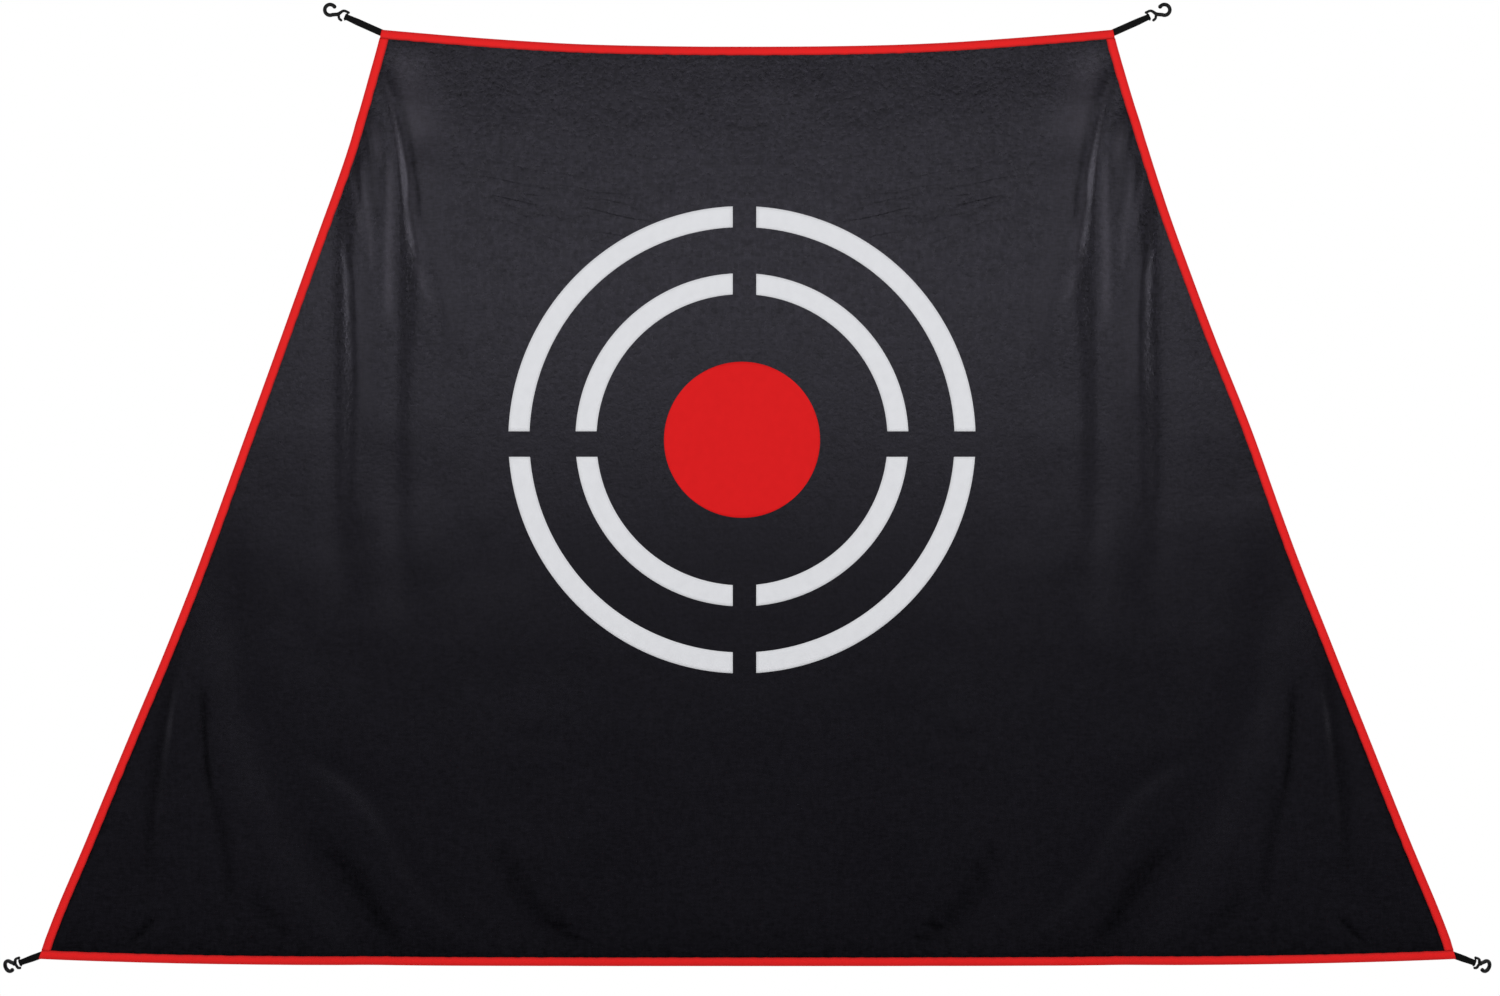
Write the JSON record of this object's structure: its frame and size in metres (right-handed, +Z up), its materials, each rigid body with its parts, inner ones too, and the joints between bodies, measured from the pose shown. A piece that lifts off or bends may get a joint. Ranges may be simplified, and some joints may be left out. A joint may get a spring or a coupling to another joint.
{
  "type": "golf chipping net target cloth",
  "caption": "Black trapezoid target cloth with folded red edge binding, a printed ring target and a webbing strap with a moulded hook at each corner.",
  "frame": {"origin": "middle of the line between the throats of the two top hooks, from which the sheet hangs", "axes": "+Z up, +X to the right along the top edge as seen from the front, -Y out of the printed face"},
  "size_m": [2.9878, 0.0382, 1.9421],
  "materials": {
    "cloth": "close woven polyester, slight sheen",
    "binding": "ribbed woven tape",
    "ring_film": "matt printed film",
    "bullseye_film": "matt printed film",
    "webbing": "woven webbing",
    "hook": "moulded, low gloss"
  },
  "bodies": {
    "sheet": {"target_cloth": "cloth", "top_binding": "binding", "bottom_binding": "binding", "left_binding": "binding", "right_binding": "binding", "outer_ring_print": "ring_film", "inner_ring_print": "ring_film", "bullseye_print": "bullseye_film", "top_left_strap_tail": "webbing", "top_right_strap_tail": "webbing", "bottom_left_strap_tail": "webbing", "bottom_right_strap_tail": "webbing"},
    "top_left_strap": {"top_left_strap": "webbing"},
    "top_right_strap": {"top_right_strap": "webbing"},
    "bottom_left_strap": {"bottom_left_strap": "webbing"},
    "bottom_right_strap": {"bottom_right_strap": "webbing"},
    "top_left_hook": {"top_left_hook": "hook"},
    "top_right_hook": {"top_right_hook": "hook"},
    "bottom_left_hook": {"bottom_left_hook": "hook"},
    "bottom_right_hook": {"bottom_right_hook": "hook"}
  },
  "joints": [
    {"name": "top_left_strap_swing", "type": "hinge", "parent": "sheet", "child": "top_left_strap", "pos_m": [-0.73492, 0, -0.04425], "axis": [-0.4067, 0, -0.9135], "range_deg": [-90, 90]},
    {"name": "top_left_hook_turn", "type": "hinge", "parent": "top_left_strap", "child": "top_left_hook", "pos_m": [-0.80252, 0, -0.01415], "axis": [-0.4067, 0, -0.9135], "range_deg": [-120, 120]},
    {"name": "top_right_strap_swing", "type": "hinge", "parent": "sheet", "child": "top_right_strap", "pos_m": [0.73492, 0, -0.04425], "axis": [-0.4067, 0, 0.9135], "range_deg": [-90, 90]},
    {"name": "top_right_hook_turn", "type": "hinge", "parent": "top_right_strap", "child": "top_right_hook", "pos_m": [0.80252, 0, -0.01415], "axis": [-0.4067, 0, 0.9135], "range_deg": [-120, 120]},
    {"name": "bottom_left_strap_swing", "type": "hinge", "parent": "sheet", "child": "bottom_left_strap", "pos_m": [-1.42017, 0, -1.89319], "axis": [0.342, 0, -0.9397], "range_deg": [-90, 90]},
    {"name": "bottom_left_hook_turn", "type": "hinge", "parent": "bottom_left_strap", "child": "bottom_left_hook", "pos_m": [-1.454, 0, -1.9055], "axis": [0.342, 0, -0.9397], "range_deg": [-153, 87]},
    {"name": "bottom_right_strap_swing", "type": "hinge", "parent": "sheet", "child": "bottom_right_strap", "pos_m": [1.42017, 0, -1.89319], "axis": [0.342, 0, 0.9397], "range_deg": [-90, 90]},
    {"name": "bottom_right_hook_turn", "type": "hinge", "parent": "bottom_right_strap", "child": "bottom_right_hook", "pos_m": [1.454, 0, -1.9055], "axis": [0.342, 0, 0.9397], "range_deg": [-153, 87]}
  ]
}
